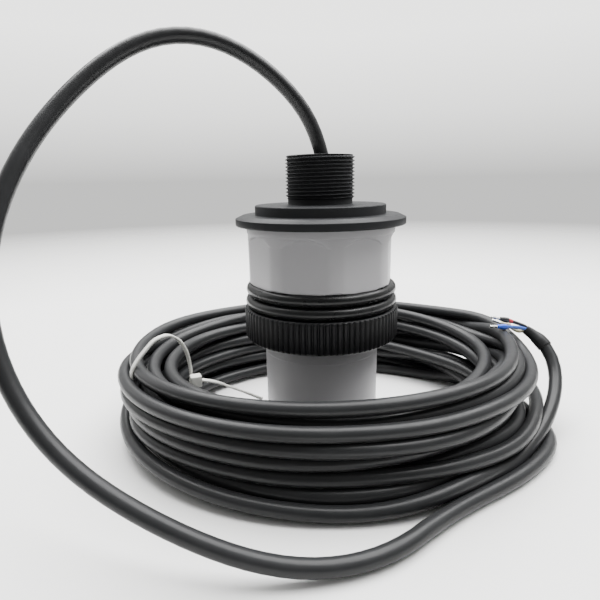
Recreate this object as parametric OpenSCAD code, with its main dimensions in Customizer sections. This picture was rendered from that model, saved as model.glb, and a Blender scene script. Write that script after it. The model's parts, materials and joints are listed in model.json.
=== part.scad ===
// Ultrasonic distance sensor on a long cable: a cable-end cap with a conduit thread, a white housing
// with eight wrench flats and a threaded shank, two seal rings and a fluted lock nut that screws down
// the shank, and a closed nose tube that holds the transducer. The cable arches over and is wound in a
// tied coil around the sensor. The origin is the middle of the sensing face, +Z towards the cable.

/* [Sensor] */
// Height of the whole sensor, from the sensing face to the end of the conduit thread
sensor_h = 125; // [124:0.5:130]
// Radius of the nose tube
nose_r = 25.9; // [25.5:0.1:26]
// Height of the joint between the nose tube and the housing
nose_joint_z = 39.3; // [38:0.1:40]
// Major radius of the shank thread
shank_r = 28; // [27.9:0.05:28.2]
// Radial clearance of the shank in the lock nut
shank_clearance = 0.05; // [0.02:0.01:0.1]
// Radius of the housing's bore
bore_r = 24; // [23.5:0.1:24.2]

/* [Grip] */
// Radius of the grip between its flats
grip_r = 32.2; // [32:0.1:32.5]
// Radius of the rim under the cap
rim_r = 32.65; // [32.5:0.05:33]
// Distance of the flats from the axis
flat_apothem = 30.85; // [30.6:0.05:31]
// Number of flats
flat_count = 8; // [6:1:8]
// Direction of the first flat, degrees from +X
flat_angle = 33.75; // [0:0.25:45]
// Height of the grip's lower face
grip_z = 70.6; // [70.6:0.1:71]
// Height of the top of the flats' arches
arch_z = 92.1; // [91:0.1:93]
// Radius of the flats' arched tops
arch_r = 15.7; // [15:0.1:17]

/* [Cap] */
// Radius of the flange
flange_r = 37.25; // [36.5:0.05:38]
// Height of the flange's lower face
flange_z = 96; // [96:0.1:96.5]
// Height of the step disc's lower face
step_z = 100.4; // [100:0.1:101]
// Radius of the step disc
step_r = 28.65; // [28:0.05:29]
// Height of the thread relief's lower end
relief_z = 104.5; // [104:0.1:105]
// Height where the conduit thread starts
conduit_z = 107.7; // [107:0.1:108.5]
// Major radius of the conduit thread
conduit_r = 15; // [14.5:0.1:15]
// Radius of the thread relief
relief_r = 14.1; // [13.5:0.1:14.2]

/* [Lock nut] */
// Outer radius of the lock nut
nut_r = 34.75; // [34.5:0.05:35]
// Height of the lock nut's lower face
nut_z = 46.05; // [46:0.05:46.2]
// Height of the lock nut
nut_h = 14; // [13.8:0.1:14]
// Number of flutes
flute_count = 88; // [60:1:96]
// Depth of the flutes
flute_depth = 0.8; // [0.5:0.1:1]

/* [Seal rings] */
// Radius of the rings' round section
ring_section_r = 2.6; // [2.4:0.05:2.6]
// Radius of the upper ring's centre line
ring_upper_r = 31.05; // [31:0.05:31.3]
// Radius of the lower ring's centre line
ring_lower_r = 31.45; // [31.2:0.05:31.6]

/* [Cable] */
// Diameter of the cable
cable_d = 6; // [5.8:0.1:6.2]
// Half the oval coil's length along X, to the middle of its section
coil_half_x = 85; // [83:1:86]
// Half its width along Y, to the middle of its section
coil_half_y = 70; // [68:1:71]
// Width of the coil's section
coil_w = 24; // [22:1:26]
// Height of the wound coil
coil_h = 40; // [36:1:42]
// Width of the cable tie
tie_w = 2.5; // [2.4:0.1:3]

/* [Hidden] */
$fn = 96;

// The gap that glued or pressed pieces keep
glue = 0.05;
far = 100;

// Cap spigot and the groove of its seal
spigot_r = 26;
spigot_z = 88;
groove_z = 90.5;
groove_h = 2.4;
groove_depth = 1.4;
seal_section_r = 1.15;

// Housing
collar_r = nose_r + 0.2;
collar_top_z = 46.6;
shank_chamfer = 1.4;
grip_chamfer = 0.8;

// Nose
nose_wall_r = 22;
nose_spigot_r = bore_r - glue;
nose_spigot_z = 52;
face_t = 1.6;

// Transducer stack, from the sensing face up
matching_r = 20;
matching_t = 4;
piezo_r = 19;
piezo_t = 8;
piezo_z = face_t + matching_t;
sleeve_in_r = 20.05;
sleeve_top_z = 16;
backing_z = piezo_z + piezo_t;
backing_t = 14;
potting_z = backing_z + backing_t;
potting_t = 6;
lead_x = 14;
lead_y = 1.4;
lead_r = 0.6;
lead_hole_r = 0.65;
probe_y = 17;
probe_r = 1.4;
probe_h = 5;
probe_lead_r = 0.4;
probe_hole_r = 1.45;

// Electronics
board_w = 40;
board_t = 1.6;
board_z = 42;
board_top_z = 86;
frame_z = 74;
frame_h = 5;
frame_in_r = 21.3;
rail_w = 3.4;
rail_d = 6;
rail_z = 56;
processor_size = [10, 10, 1.4];
processor_z = 66;
driver_size = [5, 6.2, 1.75];
driver_x = 11;
driver_z = 54;
ferrite_w = 15;
ferrite_h = 13;
ferrite_t = 11;
ferrite_side = 1.5;
ferrite_end = 2;
winding_r = 5.4;
leg_r = 2.8;
transformer_z = 60;
small_capacitor = [3.1, 7];
small_capacitor_x = 14;
small_capacitor_z = 80.5;
large_capacitor = [4, 9];
large_capacitor_z = 77;
terminal_w = 16;
terminal_h = 8;
terminal_t = 7;
terminal_z = 80;
mouth_depth = 3.5;
core_pitch = 5;
core_r = 0.85;

// Cable entry
cable_r = cable_d / 2;
cable_hole_r = cable_r + glue;
gland_r = 9;
gland_z = 108;
cap_bore_r = 5;
grommet_z = 112;
grommet_top_z = sensor_h - 1.5;
entry_z = 92;
exit_z = sensor_h - 1;

// Seal rings sit on the nut's top face
ring_gap = 0.05;
ring_lower_z = nut_z + nut_h + ring_gap + ring_section_r;
ring_upper_z = ring_lower_z + 2 * ring_section_r + ring_gap;

// The coil stands around the sensor, a little off its axis
coil_x = 2;
coil_y = 9;
coil_corner = 5;
coil_steps = 72;
tie_angle = 208;
tie_t = 1.2;
tie_head = [4.6, 4.6, 5];

// The cable's way from the cap, over the left side and down to the coil's outside
lead_route = [
    [0, 0, exit_z], [1.2, 0, 130], [-1.6, 0, 138], [-8, -2, 147], [-17.6, -5, 156], [-28, -9, 164],
    [-40, -14, 169], [-52, -19, 170], [-63, -26, 166.5], [-72.5, -32, 160], [-81, -38.5, 151], [-88.5, -46, 141],
    [-93.8, -53.5, 131], [-98, -61, 120], [-101, -68, 107.5], [-103, -74, 93], [-102.5, -79, 77.5], [-99, -82, 63],
    [-93, -85, 50], [-84, -88, 38.5], [-71.5, -92, 29], [-55, -96, 21], [-36, -99, 13], [-15, -100, 6],
    [4, -98, 3.5], [22, -91, 3.5], [37, -78, 3.5], [49, -62, 3.5],
];
// The cable's end, from the coil's outside up its right side to the heat-shrink sleeve
tail_route = [
    [66, -51, 3.5], [81, -37, 4], [95, -22, 7], [106, -8, 13], [112.5, 4, 20], [114, 11, 27], [112.5, 16, 32.5],
];
sleeve_route = [[112.5, 16, 32.5], [110.5, 18.5, 35.2], [107, 20.3, 37.7], [103, 21.5, 39.8]];
sleeve_r = 3.5;
wire_r = 0.9;
mark_r = 1.05;
collar_wire_r = 1.35;
pin_r = 0.65;
black_route = [[103, 22.4, 41], [100, 23, 42.2], [96.6, 22.9, 43.4], [94.2, 22.4, 44.2]];
black_collar = [[94.2, 22.4, 44.2], [89.7, 21.4, 45.4]];
blue_route = [[103, 20.7, 39.9], [100, 19.9, 40.9], [96, 18.8, 41.7], [91.5, 17, 42.4]];
blue_collar = [[91.5, 17, 42.4], [86.5, 15, 43.2]];
yellow_route = [[103, 22.4, 38.7], [100.6, 23, 38.2], [98.3, 23.8, 39], [96.2, 24.7, 40.6]];
yellow_collar = [[96.2, 24.7, 40.6], [91.6, 24.9, 42.2]];
pin_length = 4.5;

// ---- helpers ----

function unit(v) = v / norm(v);

// A point of the smooth curve through route, between its points i and i + 1
function curve_point(route, i, t) =
    let (
        a = i > 0 ? route[i - 1] : 2 * route[0] - route[1],
        b = route[i],
        c = route[i + 1],
        d = i + 2 < len(route) ? route[i + 2] : 2 * c - b
    )
    (2 * b + (c - a) * t + (2 * a - 5 * b + 4 * c - d) * t * t + (3 * b - a - 3 * c + d) * t * t * t) / 2;

// The whole curve, with per_step rings between two route points
function curve(route, per_step) = [
    for (i = [0:len(route) - 2], k = [0:per_step - 1]) curve_point(route, i, k / per_step),
    route[len(route) - 1],
];

function tangent(path, i) =
    unit(path[min(i + 1, len(path) - 1)] - path[max(i - 1, 0)]);

// One side direction per ring, carried along the path so that the tube doesn't twist
function carried(path, i, side) =
    let (t = tangent(path, i), s = unit(side - (side * t) * t))
    i == len(path) - 1 ? [s] : concat([s], carried(path, i + 1, s));

function ring_points(centre, t, s, r, sides) =
    [for (k = [0:sides - 1]) centre + r * (cos(360 * k / sides) * s + sin(360 * k / sides) * cross(t, s))];

// A round tube swept along a path
module tube(path, r, sides = 8) {
    sides_at = carried(path, 0, [0.3, 1, 0.2]);
    rings = [for (i = [0:len(path) - 1]) each ring_points(path[i], tangent(path, i), sides_at[i], r, sides)];
    last = len(path) - 1;
    polyhedron(
        points = rings,
        faces = concat(
            [[for (k = [0:sides - 1]) k]],
            [for (i = [0:last - 1], k = [0:sides - 1]) let (n = (k + 1) % sides)
                [i * sides + k, (i + 1) * sides + k, (i + 1) * sides + n, i * sides + n]],
            [[for (k = [sides - 1:-1:0]) last * sides + k]]
        ),
        convexity = 8
    );
}

// A straight round rod from a to b
module rod(a, b, r) {
    v = b - a;
    translate(a)
        rotate([0, acos(v.z / norm(v)), atan2(v.y, v.x)])
            cylinder(h = norm(v), r = r, $fn = 32);
}

// A flat plate of the given size with rounded corners, drawn from its lower left corner
module rounded_plate(w, h, r) {
    translate([r, 0]) square([w - 2 * r, h]);
    translate([0, r]) square([w, h - 2 * r]);
    for (x = [r, w - r], y = [r, h - r]) translate([x, y]) circle(r = r, $fn = 48);
}

// A tube wall between two heights
module wall(in_r, out_r, z, h) {
    translate([0, 0, z])
        difference() {
            cylinder(h = h, r = out_r);
            translate([0, 0, -1]) cylinder(h = h + 2, r = in_r);
        }
}

// ---- cap and cable entry ----

// The black cap: spigot with a seal groove, chamfered flange, step disc and conduit stub
module top_cap() {
    color([0.06, 0.06, 0.065])
        rotate_extrude($fn = 128)
            polygon([
                [cap_bore_r, spigot_z + 2], [spigot_r - 1, spigot_z], [spigot_r, spigot_z + 1],
                [spigot_r, groove_z], [spigot_r - groove_depth, groove_z],
                [spigot_r - groove_depth, groove_z + groove_h], [spigot_r, groove_z + groove_h],
                [spigot_r, flange_z], [flange_r - 0.3, flange_z], [flange_r, flange_z + 0.3],
                [flange_r, step_z - 1.4], [flange_r - 3, step_z],
                [step_r, step_z], [step_r, relief_z - 0.4], [step_r - 0.4, relief_z],
                [relief_r, relief_z], [relief_r, conduit_z - 0.9], [conduit_r, conduit_z],
                [conduit_r, sensor_h - 0.6], [conduit_r - 0.6, sensor_h],
                [gland_r + 0.6, sensor_h], [gland_r, sensor_h - 0.6],
                [gland_r, gland_z], [cap_bore_r, gland_z],
            ]);
}

// O-ring in the spigot's groove
module cap_seal() {
    color([0.08, 0.08, 0.08])
        rotate_extrude()
            translate([spigot_r - groove_depth + seal_section_r + glue, groove_z + groove_h / 2])
                intersection() {
                    circle(r = seal_section_r, $fn = 32);
                    translate([-seal_section_r, -seal_section_r])
                        square([groove_depth - glue, 2 * seal_section_r]);
                }
}

// Rubber bush that grips the cable in the stub
module cable_grommet() {
    color([0.1, 0.1, 0.1])
        rotate_extrude()
            polygon([
                [cable_hole_r, grommet_z], [gland_r - glue, grommet_z], [gland_r - glue, grommet_top_z - 1],
                [gland_r - 1, grommet_top_z], [cable_hole_r + 1.6, grommet_top_z],
                [cable_hole_r, grommet_top_z - 1.6],
            ]);
}

// Brass ring that presses on the bush
module clamp_ring() {
    color([0.75, 0.6, 0.3])
        wall(cable_hole_r + 0.3, gland_r - glue, gland_z + glue, grommet_z - gland_z - 2 * glue);
}

// The cable's end inside the cap
module cable_entry() {
    color([0.09, 0.09, 0.095])
        translate([0, 0, entry_z]) cylinder(h = exit_z - entry_z, r = cable_r);
}

// ---- housing and nose ----

// A flat with an arched top, as an end mill leaves it
module grip_flat_cut() {
    translate([flat_apothem, -arch_r, grip_z - 1])
        cube([far, 2 * arch_r, arch_z - arch_r - grip_z + 1]);
    translate([flat_apothem, 0, arch_z - arch_r])
        rotate([0, 90, 0]) cylinder(h = far, r = arch_r);
}

// The white housing: grip with flats, threaded shank and short collar
module housing() {
    color([0.86, 0.86, 0.87])
        difference() {
            rotate_extrude($fn = 128)
                polygon([
                    [bore_r, nose_joint_z], [collar_r, nose_joint_z], [collar_r, collar_top_z],
                    [shank_r, collar_top_z + shank_chamfer], [shank_r, grip_z],
                    [grip_r - grip_chamfer, grip_z], [grip_r, grip_z + grip_chamfer],
                    [grip_r, arch_z - 0.1], [rim_r, arch_z + 0.3], [rim_r, flange_z - 0.3],
                    [rim_r - 0.3, flange_z - glue], [spigot_r + glue, flange_z - glue],
                    [spigot_r + glue, spigot_z - 0.5], [bore_r, spigot_z - 0.5],
                ]);
            for (i = [0:flat_count - 1])
                rotate([0, 0, flat_angle + i * 360 / flat_count]) grip_flat_cut();
        }
}

// The white nose tube, closed by the thin sensing face
module nose_tube() {
    color([0.88, 0.88, 0.89])
        rotate_extrude($fn = 128)
            polygon([
                [0, 0], [nose_r - 0.8, 0], [nose_r, 0.8], [nose_r, nose_joint_z - 0.35],
                [nose_r - 0.3, nose_joint_z - glue], [nose_spigot_r, nose_joint_z - glue],
                [nose_spigot_r, nose_spigot_z], [nose_wall_r, nose_spigot_z], [nose_wall_r, face_t],
                [0, face_t],
            ]);
}

// ---- transducer ----

module matching_layer() {
    color([0.85, 0.8, 0.6])
        translate([0, 0, face_t]) cylinder(h = matching_t, r = matching_r);
}

module piezo_disc() {
    color([0.75, 0.75, 0.7])
        translate([0, 0, piezo_z]) cylinder(h = piezo_t, r = piezo_r);
}

// Soft sleeve that keeps the transducer's ringing out of the nose wall
module decoupling_sleeve() {
    color([0.55, 0.4, 0.25])
        wall(sleeve_in_r, nose_wall_r - glue, face_t, sleeve_top_z - face_t);
}

// The holes for the leads of the transducer and the temperature probe
module lead_holes() {
    for (x = [-lead_x, lead_x]) translate([x, lead_y, 0]) cylinder(h = far, r = lead_hole_r, $fn = 32);
    translate([0, probe_y, 0]) cylinder(h = far, r = probe_hole_r, $fn = 32);
}

module backing_block() {
    color([0.25, 0.25, 0.27])
        difference() {
            translate([0, 0, backing_z]) cylinder(h = backing_t, r = matching_r);
            lead_holes();
        }
}

module potting_disc() {
    color([0.12, 0.12, 0.14])
        difference() {
            translate([0, 0, potting_z]) cylinder(h = potting_t, r = nose_wall_r - glue);
            lead_holes();
        }
}

module piezo_leads() {
    color([0.8, 0.2, 0.15])
        for (x = [-lead_x, lead_x])
            translate([x, lead_y, backing_z]) cylinder(h = board_z + 4 - backing_z, r = lead_r, $fn = 24);
}

// Bead in the backing block, with its two leads
module temperature_probe() {
    color([0.15, 0.15, 0.4]) {
        translate([0, probe_y, backing_z]) cylinder(h = probe_h, r = probe_r, $fn = 32);
        for (x = [-0.6, 0.6])
            translate([x, probe_y, backing_z + probe_h])
                cylinder(h = board_z - backing_z - probe_h, r = probe_lead_r, $fn = 24);
    }
}

// ---- electronics ----

// Ring with two slotted rails that hold the board's edges
module board_frame() {
    color([0.2, 0.2, 0.22])
        difference() {
            intersection() {
                union() {
                    wall(frame_in_r, bore_r - glue, frame_z, frame_h);
                    for (side = [0, 180])
                        rotate([0, 0, side])
                            translate([board_w / 2 - 1, -rail_d / 2, rail_z])
                                cube([rail_w, rail_d, frame_z + frame_h - rail_z]);
                }
                cylinder(h = far, r = bore_r - glue);
            }
            translate([-board_w / 2 - glue, -board_t / 2 - glue, 0])
                cube([board_w + 2 * glue, board_t + 2 * glue, far]);
        }
}

module circuit_board() {
    color([0.05, 0.35, 0.15])
        translate([-board_w / 2, -board_t / 2, board_z])
            cube([board_w, board_t, board_top_z - board_z]);
}

// A component that stands on the board's front or back face
module on_board(x, z, front = true) {
    translate([x, 0, z])
        rotate([front ? 90 : -90, 0, 0])
            translate([0, 0, board_t / 2]) children();
}

module chip(size) {
    translate([-size.x / 2, -size.y / 2, 0]) cube(size);
}

module processor_chip() {
    color([0.1, 0.1, 0.1]) on_board(0, processor_z) chip(processor_size);
}

module driver_chips() {
    color([0.12, 0.12, 0.12])
        for (x = [-driver_x, driver_x]) on_board(x, driver_z) chip(driver_size);
}

// Ferrite core with a round middle leg and two windows
module transformer_core() {
    color([0.2, 0.2, 0.22])
        on_board(0, transformer_z, false)
            difference() {
                chip([ferrite_w, ferrite_h, ferrite_t]);
                difference() {
                    translate([0, 0, -1])
                        chip([ferrite_w - 2 * ferrite_side, ferrite_h - 2 * ferrite_end, ferrite_t + 2]);
                    rotate([90, 0, 0])
                        translate([0, ferrite_t / 2, -far / 2]) cylinder(h = far, r = leg_r, $fn = 32);
                }
            }
}

module transformer_winding() {
    color([0.72, 0.4, 0.2])
        on_board(0, transformer_z, false)
            translate([0, 0, ferrite_t / 2])
                rotate([90, 0, 0])
                    difference() {
                        cylinder(
                            h = ferrite_h - 2 * ferrite_end - 4 * glue, r = winding_r, center = true, $fn = 48
                        );
                        cylinder(h = far, r = leg_r + glue, center = true, $fn = 32);
                    }
}

module capacitors() {
    color([0.15, 0.2, 0.35]) {
        for (x = [-small_capacitor_x, small_capacitor_x])
            on_board(x, small_capacitor_z, false)
                cylinder(r = small_capacitor[0], h = small_capacitor[1], $fn = 32);
        on_board(0, large_capacitor_z, false)
            cylinder(r = large_capacitor[0], h = large_capacitor[1], $fn = 32);
    }
}

// Screw block where the cable's three cores end
module terminal_block() {
    color([0.1, 0.45, 0.2])
        on_board(0, terminal_z)
            difference() {
                chip([terminal_w, terminal_h, terminal_t]);
                for (i = [-1:1])
                    translate([i * core_pitch, 0, terminal_t - mouth_depth])
                        rotate([90, 0, 0]) cylinder(h = terminal_h, r = core_r + 2 * glue, $fn = 24);
            }
}

// A cable core from the cable's end down into the terminal block
module core_wire(i) {
    mouth = [i * core_pitch, -board_t / 2 - terminal_t + mouth_depth, terminal_z + 2.5];
    tube(curve([
        [i * 1.4, -0.6, entry_z], [i * 1.8, -1.6, entry_z - 2], [i * 3.6, -3.6, entry_z - 4.5],
        [mouth.x, mouth.y, terminal_z + 5.5], mouth,
    ], 3), core_r);
}
module core_black() {
    color([0.08, 0.08, 0.08]) core_wire(-1);
}
module core_blue() {
    color([0.1, 0.25, 0.7]) core_wire(0);
}
module core_yellow() {
    color([0.85, 0.75, 0.35]) core_wire(1);
}

// ---- moving pieces ----

module seal_ring(centre_r, z) {
    color([0.05, 0.05, 0.05])
        rotate_extrude($fn = 128)
            translate([centre_r, z]) circle(r = ring_section_r, $fn = 48);
}
module seal_ring_upper() {
    seal_ring(ring_upper_r, ring_upper_z);
}
module seal_ring_lower() {
    seal_ring(ring_lower_r, ring_lower_z);
}

// The fluted lock nut: a toothed band between two plain ends, with chamfered mouths to its bore
module lock_nut() {
    bore = shank_r + shank_clearance;
    end_h = 0.8;
    end_r = nut_r - flute_depth - 0.3;
    mouth = 0.8;
    color([0.07, 0.07, 0.07])
        translate([0, 0, nut_z])
            difference() {
                union() {
                    cylinder(h = nut_h, r = end_r, $fn = 128);
                    translate([0, 0, end_h])
                        linear_extrude(nut_h - 2 * end_h)
                            polygon([
                                for (i = [0:flute_count - 1], k = [[-0.28, 0], [0.28, 0], [0.4, 1], [0.6, 1]])
                                    let (a = 360 / flute_count * (i + k[0]))
                                    (nut_r - flute_depth * k[1]) * [cos(a), sin(a)],
                            ]);
                }
                rotate_extrude($fn = 128)
                    polygon([
                        [0, -1], [bore + mouth + 1, -1], [bore, mouth], [bore, nut_h - mouth],
                        [bore + mouth + 1, nut_h + 1], [0, nut_h + 1],
                    ]);
            }
}

// ---- cable ----

module cable_lead() {
    color([0.09, 0.09, 0.095]) tube(curve(lead_route, 2), cable_r, 10);
}

// A point of the oval through the middle of the coil's section, and the direction out of it there
function coil_point(a) = [coil_x + coil_half_x * cos(a), coil_y + coil_half_y * sin(a)];
function coil_outward(a) = unit([coil_half_y * cos(a), coil_half_x * sin(a)]);

module cable_coil() {
    w = coil_w / 2;
    section = [
        [w - coil_corner, 0], [w, coil_corner], [w, coil_h - coil_corner], [w - coil_corner, coil_h],
        [coil_corner - w, coil_h], [-w, coil_h - coil_corner], [-w, coil_corner], [coil_corner - w, 0],
    ];
    sides = len(section);
    points = [
        for (i = [0:coil_steps - 1], q = section)
            let (a = 360 / coil_steps * i, p = coil_point(a) + q.x * coil_outward(a)) [p.x, p.y, q.y],
    ];
    faces = [
        for (i = [0:coil_steps - 1], k = [0:sides - 1])
            let (here = i * sides, next = (i + 1) % coil_steps * sides, l = (k + 1) % sides)
            [here + k, here + l, next + l, next + k],
    ];
    color([0.1, 0.1, 0.105]) polyhedron(points, faces, convexity = 4);
}

module cable_tail() {
    color([0.09, 0.09, 0.095]) tube(curve(tail_route, 2), cable_r, 10);
}

module heat_shrink() {
    color([0.13, 0.13, 0.13]) tube(curve(sleeve_route, 3), sleeve_r, 12);
}

module wire_black() {
    color([0.07, 0.07, 0.07]) tube(curve(black_route, 2), wire_r);
}

// Red band on the black wire
module wire_mark() {
    color([0.75, 0.08, 0.08])
        difference() {
            rod(black_route[2], black_route[2] + 2.4 * unit(black_route[3] - black_route[2]), mark_r);
            tube(curve(black_route, 2), wire_r);
        }
}

module wire_blue() {
    color([0.15, 0.3, 0.75]) tube(curve(blue_route, 2), wire_r);
}

module wire_yellow() {
    color([0.85, 0.78, 0.45]) tube(curve(yellow_route, 2), wire_r);
}

module ferrule_black() {
    color([0.08, 0.08, 0.08]) rod(black_collar[0], black_collar[1], collar_wire_r);
}

module ferrule_blue() {
    color([0.1, 0.25, 0.8]) rod(blue_collar[0], blue_collar[1], collar_wire_r);
}

module ferrule_yellow() {
    color([0.9, 0.82, 0.4]) rod(yellow_collar[0], yellow_collar[1], collar_wire_r);
}

module ferrule_pins() {
    color([0.8, 0.8, 0.82])
        for (collar = [black_collar, blue_collar, yellow_collar])
            rod(collar[1], collar[1] + pin_length * unit(collar[1] - collar[0]), pin_r);
}

// Nylon tie around the coil's section, with its head on the inner side and its tail inside the ring
module cable_tie() {
    out = coil_outward(tie_angle);
    in_r = -coil_w / 2;
    color([0.88, 0.88, 0.84])
        translate(coil_point(tie_angle))
            rotate([0, 0, atan2(out.y, out.x)]) {
                translate([in_r - tie_t, tie_w / 2, 0])
                    rotate([90, 0, 0])
                        linear_extrude(tie_w)
                            difference() {
                                rounded_plate(coil_w + 2 * tie_t, coil_h + tie_t, coil_corner + tie_t);
                                translate([tie_t, tie_t])
                                    rounded_plate(coil_w, coil_h - tie_t, coil_corner);
                            }
                translate([in_r - tie_t - tie_head.x + 0.4, -tie_head.y / 2, coil_h - 14])
                    cube(tie_head);
                translate([in_r - tie_t - tie_head.x - 17, -tie_w / 2, coil_h - 12])
                    cube([18, tie_w, tie_t]);
            }
}

top_cap();
cap_seal();
cable_grommet();
clamp_ring();
cable_entry();
housing();
nose_tube();
matching_layer();
piezo_disc();
decoupling_sleeve();
backing_block();
potting_disc();
piezo_leads();
temperature_probe();
board_frame();
circuit_board();
processor_chip();
driver_chips();
transformer_core();
transformer_winding();
capacitors();
terminal_block();
core_black();
core_blue();
core_yellow();
seal_ring_upper();
seal_ring_lower();
lock_nut();
cable_lead();
cable_coil();
cable_tail();
heat_shrink();
wire_black();
wire_mark();
wire_blue();
wire_yellow();
ferrule_black();
ferrule_blue();
ferrule_yellow();
ferrule_pins();
cable_tie();
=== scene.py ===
"""The looks of an ultrasonic distance sensor on a long cable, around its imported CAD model.

Metres, in the CAD model's own frame: the origin is the middle of the sensing face, +Z towards the cable.
"""

import json
import math

import bmesh
import bpy
import numpy as np
from mathutils import Matrix, Vector


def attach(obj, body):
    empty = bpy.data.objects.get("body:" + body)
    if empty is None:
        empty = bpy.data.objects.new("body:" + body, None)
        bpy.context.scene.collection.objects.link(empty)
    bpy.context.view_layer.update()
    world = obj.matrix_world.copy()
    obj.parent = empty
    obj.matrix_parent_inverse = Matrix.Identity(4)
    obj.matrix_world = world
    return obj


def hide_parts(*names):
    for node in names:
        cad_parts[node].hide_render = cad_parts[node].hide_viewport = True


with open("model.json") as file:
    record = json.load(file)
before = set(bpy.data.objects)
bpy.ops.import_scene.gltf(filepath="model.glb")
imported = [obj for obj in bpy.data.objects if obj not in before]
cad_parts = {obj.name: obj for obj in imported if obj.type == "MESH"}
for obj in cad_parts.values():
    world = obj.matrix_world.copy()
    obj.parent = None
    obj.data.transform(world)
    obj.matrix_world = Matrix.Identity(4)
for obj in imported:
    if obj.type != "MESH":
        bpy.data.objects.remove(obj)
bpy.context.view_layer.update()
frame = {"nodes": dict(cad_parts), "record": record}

MM = 0.001
MERGE_WITHIN = 0.0005 * MM

# Cable
CABLE_D = 6.0 * MM
CABLE_R = CABLE_D / 2
CABLE_STEP = 5.0 * MM
CABLE_HIDDEN_START = [[0, 0, 97], [0.4, 0, 110]]

# The coil: an ellipse for its middle, and the (column, row) that each turn starts in
COIL_CENTRE = MM * np.array([2.0, 9.0])
COIL_SEMI = MM * np.array([85.5, 70.0])
COIL_PITCH = 6.6 * MM
COIL_ROW = 5.9 * MM
COIL_SLOTS = [
    (2, 0), (1, 0), (0, 0), (0, 1), (1, 1), (2, 1), (2, 2), (1, 2), (0, 2), (0, 3),
    (1, 3), (2, 3), (2, 4), (1, 4), (0, 4), (0, 5), (1, 5), (2, 5), (1.2, 6), (2.7, 0.2),
]
TIE_ANGLE = math.radians(203)
BACK_ANGLE = math.radians(90)
COIL_SEED = 23
# How much higher the rows lie at the back, and how much looser the columns are away from the tie and
# on the left
COIL_BACK_RISE = 0.16
COIL_SPREAD = 0.2
COIL_LEFT_SPREAD = 0.5
# On the left the coil leans inwards, and its rows above a height flare out
COIL_LEAN = 2.5 * MM
COIL_FLARE = 0.2
COIL_FLARE_FROM = 22 * MM
# Slow waves along the cable: their number, their size outwards and upwards, and the part of it at the tie
COIL_WAVES = 10
COIL_WANDER = MM * np.array([1.1, 0.7])
COIL_TIED_WANDER = 0.25
# Each turn's own shift along X, Y and Z, away from the tie
COIL_DRIFT = MM * np.array([3.5, 2.5, 1.2])
# The outer columns' room at the tie, and how far around the coil it reaches
TIE_ROOM = 1.6 * MM
TIE_ROOM_ANGLE = 0.35
# Angle between the coil's ends and the lead and tail that join them
COIL_JOIN = 0.1

# How the cable settles: rounds, sinking a round, the part of the rounds in which it sinks, stiffness
SETTLE_ROUNDS = 500
SETTLE_SINK = 0.004 * MM
SETTLE_SINKING = 0.7
SETTLE_STIFFNESS = 0.35
SETTLE_LIST_EVERY = 8
LEAD_SMOOTHING = 12
TAIL_SMOOTHING = 4

# The cable's way from the cap, over the left side and down to the coil's outside
LEAD_ROUTE = MM * np.array([
    [1.1, 0, 124], [1.2, 0, 130], [-1.6, 0, 138], [-8, -2, 147], [-17.6, -5, 156],
    [-28, -9, 164], [-40, -14, 169], [-52, -19, 170], [-63, -26, 166.5], [-72.5, -32, 160],
    [-81, -38.5, 151], [-88.5, -46, 141], [-93.8, -53.5, 131], [-98, -61, 120], [-101, -68, 107.5],
    [-103, -74, 93], [-102.5, -79, 77.5], [-99, -82, 63], [-93, -85, 50], [-84, -88, 38.5],
    [-71.5, -92, 29], [-55, -96, 21], [-36, -99, 13], [-15, -100, 6], [4, -98, 3.5],
    [22, -91, 3.5], [37, -78, 3.5], [49, -62, 3.5],
])
# The cable's end, from the coil's outside up its right side to the heat-shrink sleeve
TAIL_ROUTE = MM * np.array([
    [66, -51, 3.5], [81, -37, 4], [95, -22, 7], [106, -8, 13], [112.5, 4, 20], [114, 11, 27],
    [112.5, 16, 32.5], [110.5, 18.5, 35.2], [107, 20.3, 37.7], [103, 21.5, 39.8],
])

# Camera
CAMERA_AT = (0.0, -0.217, 0.115)
CAMERA_AIM = math.radians(-2.54)
CAMERA_DOWN = math.radians(13.93)
CAMERA_ROLL = math.radians(-1.04)
CAMERA_LENS = 29.1

# Sensor, in millimetres, as in the CAD model
SENSOR_H = 125
NOSE_R = 25.9
NOSE_JOINT_Z = 39.3
NOSE_TOP_Z = 52
NOSE_IN_R = 22
FACE_T = 1.6
COLLAR_R = 26.1
COLLAR_TOP_Z = 46.6
SHANK_R = 28
SHANK_PITCH = 2
SHANK_DEPTH = 1.227
BORE_R = 24
GRIP_Z = 70.6
GRIP_R = 32.2
RIM_R = 32.65
FLATS = 8
FLAT_APOTHEM = 30.85
FLAT_ANGLE = math.radians(33.75)
ARCH_Z = 92.1
ARCH_R = 15.7
LEDGE = 0.7
EDGE_SOFTNESS = 0.35
SPIGOT_R = 26
SPIGOT_Z = 88
GROOVE_DEPTH = 1.4
GROOVE_LOW_Z = 90.5
GROOVE_HIGH_Z = 92.9
FLANGE_R = 37.25
FLANGE_Z = 96
STEP_R = 28.65
STEP_Z = 100.4
RELIEF_R = 14.1
RELIEF_Z = 104.5
CONDUIT_R = 15
CONDUIT_Z = 107.7
CONDUIT_PITCH = 1.5
CONDUIT_DEPTH = 0.9
THREAD_START_Z = CONDUIT_Z - 0.9
GLAND_R = 9
GLAND_Z = 108
CAP_BORE_R = 5
GROMMET_Z = 112
GLUE = 0.05
NUT_R = 34.75
NUT_Z = 46.05
NUT_H = 14
FLUTES = 88
FLUTE_DEPTH = 0.8
THREAD_GAP = 0.08
RING_SECTION_R = 2.6
RING_UPPER_R = 31.05
RING_LOWER_R = 31.45
RING_WANDER = 0.08
CAP_COLUMNS = 192
HOUSING_COLUMNS = 360
ROUND_COLUMNS = 256
OUTLINE_SIDES = 32

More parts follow.
